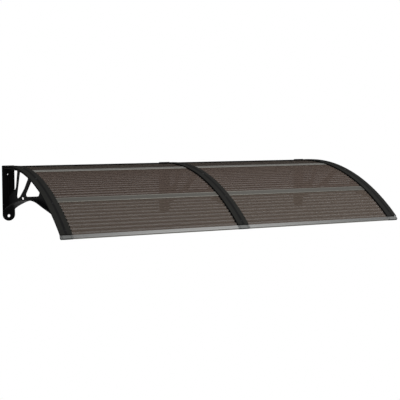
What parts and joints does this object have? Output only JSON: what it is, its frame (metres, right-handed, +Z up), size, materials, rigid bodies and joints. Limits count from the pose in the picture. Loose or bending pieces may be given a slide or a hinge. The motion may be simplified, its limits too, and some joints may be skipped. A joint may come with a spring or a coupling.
{
  "type": "door canopy",
  "caption": "Arched canopy over a door: twin-wall polycarbonate roof in two bays on moulded wall brackets, with cover strips, cross bars, front rail and wall profile.",
  "frame": {"origin": "middle of the back of the centre bracket's wall plate, on the wall", "axes": "+X along the wall to the right as seen from the street, +Y into the wall, +Z up; the roof reaches out to -Y"},
  "size_m": [2.007, 0.9861, 0.3166],
  "materials": {
    "black_abs": "moulded, satin",
    "smoked_polycarbonate": "extruded, smoked bronze",
    "dark_cover": "extruded, fine satin",
    "mill_aluminium": "mill finish",
    "grey_plastic": "moulded, satin",
    "black_rubber": "matt",
    "black_steel": "black zinc",
    "black_profile": "extruded, satin"
  },
  "bodies": {
    "root": {"bracket_centre": "black_abs", "bracket_left": "black_abs", "bracket_right": "black_abs", "cap_screw_centre": "black_steel", "cap_screw_left": "black_steel", "cap_screw_right": "black_steel", "cover_screw_centre_1": "black_steel", "cover_screw_centre_2": "black_steel", "cover_screw_centre_3": "black_steel", "cover_screw_centre_4": "black_steel", "cover_screw_centre_5": "black_steel", "cover_screw_left_1": "black_steel", "cover_screw_left_2": "black_steel", "cover_screw_left_3": "black_steel", "cover_screw_left_4": "black_steel", "cover_screw_left_5": "black_steel", "cover_screw_right_1": "black_steel", "cover_screw_right_2": "black_steel", "cover_screw_right_3": "black_steel", "cover_screw_right_4": "black_steel", "cover_screw_right_5": "black_steel", "cover_strip_centre": "dark_cover", "cover_strip_left": "dark_cover", "cover_strip_right": "dark_cover", "front_cap_centre": "grey_plastic", "front_cap_left": "grey_plastic", "front_cap_right": "grey_plastic", "front_rail_left": "mill_aluminium", "front_rail_right": "mill_aluminium", "gasket_centre_1": "black_rubber", "gasket_centre_2": "black_rubber", "gasket_left_1": "black_rubber", "gasket_left_2": "black_rubber", "gasket_right_1": "black_rubber", "gasket_right_2": "black_rubber", "joint_profile_left_front": "mill_aluminium", "joint_profile_left_rear": "mill_aluminium", "joint_profile_right_front": "mill_aluminium", "joint_profile_right_rear": "mill_aluminium", "sheet_left_front": "smoked_polycarbonate", "sheet_left_middle": "smoked_polycarbonate", "sheet_left_rear": "smoked_polycarbonate", "sheet_right_front": "smoked_polycarbonate", "sheet_right_middle": "smoked_polycarbonate", "sheet_right_rear": "smoked_polycarbonate", "wall_profile_left": "black_profile", "wall_profile_right": "black_profile", "wall_seal_left": "black_rubber", "wall_seal_right": "black_rubber"}
  },
  "joints": []
}
